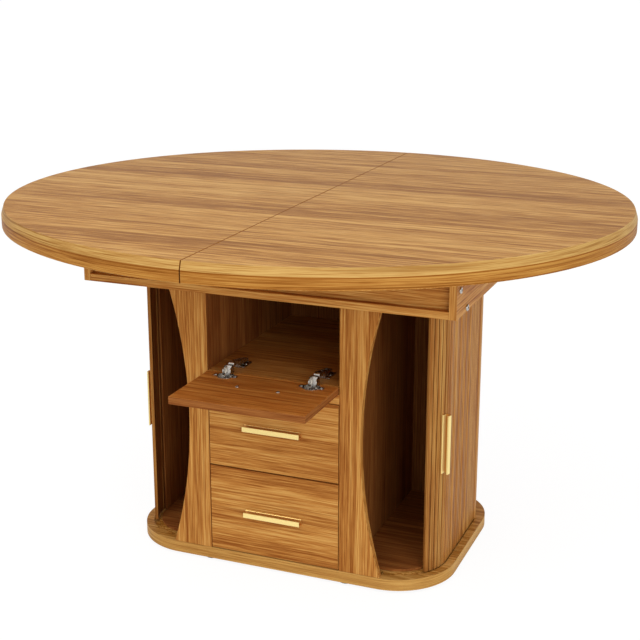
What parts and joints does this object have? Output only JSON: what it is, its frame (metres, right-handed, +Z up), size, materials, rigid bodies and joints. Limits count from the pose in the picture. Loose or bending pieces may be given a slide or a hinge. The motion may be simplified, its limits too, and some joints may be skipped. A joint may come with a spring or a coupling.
{
  "type": "kitchen table with storage cabinet",
  "caption": "Oval two-piece wooden dining table on a storage cabinet with drawers, a drop flap over an open shelf and sliding slatted corner doors.",
  "frame": {"origin": "floor level under the middle of the top", "axes": "+Z up, +X along the longer axis of the oval top, -Y towards the drawers and the flap"},
  "size_m": [1.3198, 1.24, 0.76],
  "materials": {
    "teak_laminate": "satin wood-grain laminate",
    "inner_board": "satin wood-grain laminate, darker",
    "gold_metal": "satin gold",
    "zinc_steel": "zinc plated",
    "foot_plastic": "matt"
  },
  "bodies": {
    "table_frame": {"apron_back": "teak_laminate", "apron_bolts": "zinc_steel", "apron_end_left": "teak_laminate", "apron_end_right": "teak_laminate", "apron_front": "teak_laminate", "back_corner_left": "teak_laminate", "back_corner_right": "teak_laminate", "back_panel": "teak_laminate", "base_feet": "foot_plastic", "base_plate": "teak_laminate", "divider_left": "inner_board", "divider_right": "inner_board", "flap_hinge_arms": "zinc_steel", "floor_left": "inner_board", "floor_right": "inner_board", "post_left": "teak_laminate", "post_right": "teak_laminate", "runner_rails": "zinc_steel", "shelf": "teak_laminate", "shelf_rail": "teak_laminate", "side_liner_left": "inner_board", "side_liner_right": "inner_board", "tabletop_left": "teak_laminate", "tabletop_right": "teak_laminate", "top_fixings": "zinc_steel", "tray_floor": "teak_laminate"},
    "drop_flap": {"flap_handle": "gold_metal", "flap_handle_screws": "zinc_steel", "flap_hinge_cups": "zinc_steel", "flap_panel": "teak_laminate"},
    "lower_drawer": {"lower_drawer_back": "inner_board", "lower_drawer_floor": "inner_board", "lower_drawer_front": "teak_laminate", "lower_drawer_handle": "gold_metal", "lower_drawer_side_left": "inner_board", "lower_drawer_side_right": "inner_board", "lower_drawer_slides": "zinc_steel"},
    "upper_drawer": {"upper_drawer_back": "inner_board", "upper_drawer_floor": "inner_board", "upper_drawer_front": "teak_laminate", "upper_drawer_handle": "gold_metal", "upper_drawer_side_left": "inner_board", "upper_drawer_side_right": "inner_board", "upper_drawer_slides": "zinc_steel"},
    "right_door_tail": {"door_tail_right": "teak_laminate"},
    "right_door_slat_4": {"door_slat_right_4": "teak_laminate"},
    "right_door_slat_3": {"door_slat_right_3": "teak_laminate"},
    "right_door_slat_2": {"door_slat_right_2": "teak_laminate"},
    "right_door_slat_1": {"door_slat_right_1": "teak_laminate"},
    "right_door_slat_bend": {"door_slat_right_bend": "teak_laminate"},
    "right_door_stile": {"door_stile_right": "teak_laminate", "door_handle_right": "gold_metal"},
    "left_door_tail": {"door_tail_left": "teak_laminate"},
    "left_door_slat_4": {"door_slat_left_4": "teak_laminate"},
    "left_door_slat_3": {"door_slat_left_3": "teak_laminate"},
    "left_door_slat_2": {"door_slat_left_2": "teak_laminate"},
    "left_door_slat_1": {"door_slat_left_1": "teak_laminate"},
    "left_door_slat_bend": {"door_slat_left_bend": "teak_laminate"},
    "left_door_stile": {"door_stile_left": "teak_laminate", "door_handle_left": "gold_metal"}
  },
  "joints": [
    {"name": "flap_hinge", "type": "hinge", "parent": "table_frame", "child": "drop_flap", "pos_m": [0, -0.2315, 0.4235], "axis": [-1, 0, 0], "range_deg": [0, 90]},
    {"name": "lower_drawer_slide", "type": "slide", "parent": "table_frame", "child": "lower_drawer", "axis": [0, -1, 0], "range_m": [0, 0.25]},
    {"name": "upper_drawer_slide", "type": "slide", "parent": "table_frame", "child": "upper_drawer", "axis": [0, -1, 0], "range_m": [0, 0.25]},
    {"name": "right_door_slide", "type": "slide", "parent": "table_frame", "child": "right_door_tail", "axis": [0, -1, 0], "range_m": [0, 0.138]},
    {"name": "right_door_slat_4_turn", "type": "hinge", "parent": "table_frame", "child": "right_door_slat_4", "pos_m": [-0.47606, -0.04404, 0.32], "axis": [0, 0, 1], "range_deg": [-9.76, 0]},
    {"name": "right_door_slat_3_turn", "type": "hinge", "parent": "table_frame", "child": "right_door_slat_3", "pos_m": [0.06724, -0.06707, 0.32], "axis": [0, 0, 1], "range_deg": [-29.23, 0]},
    {"name": "right_door_slat_2_turn", "type": "hinge", "parent": "table_frame", "child": "right_door_slat_2", "pos_m": [0.17554, -0.08551, 0.32], "axis": [0, 0, 1], "range_deg": [-48.71, 0]},
    {"name": "right_door_slat_1_turn", "type": "hinge", "parent": "table_frame", "child": "right_door_slat_1", "pos_m": [0.21998, -0.10329, 0.32], "axis": [0, 0, 1], "range_deg": [-68.18, 0]},
    {"name": "right_door_slat_bend_turn", "type": "hinge", "parent": "table_frame", "child": "right_door_slat_bend", "pos_m": [0.232, -0.113, 0.32], "axis": [0, 0, 1], "range_deg": [-77.92, 0]},
    {"name": "right_door_stile_turn", "type": "hinge", "parent": "table_frame", "child": "right_door_stile", "pos_m": [0.21688, -0.09563, 0.32], "axis": [0, 0, 1], "range_deg": [-64.26, 0]},
    {"name": "left_door_slide", "type": "slide", "parent": "table_frame", "child": "left_door_tail", "axis": [0, -1, 0], "range_m": [0, 0.1555]},
    {"name": "left_door_slat_4_turn", "type": "hinge", "parent": "table_frame", "child": "left_door_slat_4", "pos_m": [0.57878, -0.03529, 0.32], "axis": [0, 0, 1], "range_deg": [0, 9.76]},
    {"name": "left_door_slat_3_turn", "type": "hinge", "parent": "table_frame", "child": "left_door_slat_3", "pos_m": [-0.03367, -0.05832, 0.32], "axis": [0, 0, 1], "range_deg": [0, 29.23]},
    {"name": "left_door_slat_2_turn", "type": "hinge", "parent": "table_frame", "child": "left_door_slat_2", "pos_m": [-0.1562, -0.07676, 0.32], "axis": [0, 0, 1], "range_deg": [0, 48.71]},
    {"name": "left_door_slat_1_turn", "type": "hinge", "parent": "table_frame", "child": "left_door_slat_1", "pos_m": [-0.20705, -0.09454, 0.32], "axis": [0, 0, 1], "range_deg": [0, 68.18]},
    {"name": "left_door_slat_bend_turn", "type": "hinge", "parent": "table_frame", "child": "left_door_slat_bend", "pos_m": [-0.22723, -0.10841, 0.32], "axis": [0, 0, 1], "range_deg": [0, 82.86]},
    {"name": "left_door_stile_turn", "type": "hinge", "parent": "table_frame", "child": "left_door_stile", "pos_m": [-0.21738, -0.09888, 0.32], "axis": [0, 0, 1], "range_deg": [0, 74.14]}
  ],
  "couplings": [
    {"joint": "right_door_slat_4_turn", "follows": "right_door_slide", "rad_per_m": -1.2315},
    {"joint": "right_door_slat_3_turn", "follows": "right_door_slide", "rad_per_m": -3.6946},
    {"joint": "right_door_slat_2_turn", "follows": "right_door_slide", "rad_per_m": -6.1576},
    {"joint": "right_door_slat_1_turn", "follows": "right_door_slide", "rad_per_m": -8.6207},
    {"joint": "right_door_slat_bend_turn", "follows": "right_door_slide", "rad_per_m": -9.8522},
    {"joint": "right_door_stile_turn", "follows": "right_door_slide", "rad_per_m": -8.1243},
    {"joint": "left_door_slat_4_turn", "follows": "left_door_slide", "rad_per_m": 1.0929},
    {"joint": "left_door_slat_3_turn", "follows": "left_door_slide", "rad_per_m": 3.2788},
    {"joint": "left_door_slat_2_turn", "follows": "left_door_slide", "rad_per_m": 5.4647},
    {"joint": "left_door_slat_1_turn", "follows": "left_door_slide", "rad_per_m": 7.6505},
    {"joint": "left_door_slat_bend_turn", "follows": "left_door_slide", "rad_per_m": 9.2978},
    {"joint": "left_door_stile_turn", "follows": "left_door_slide", "rad_per_m": 8.3188}
  ]
}
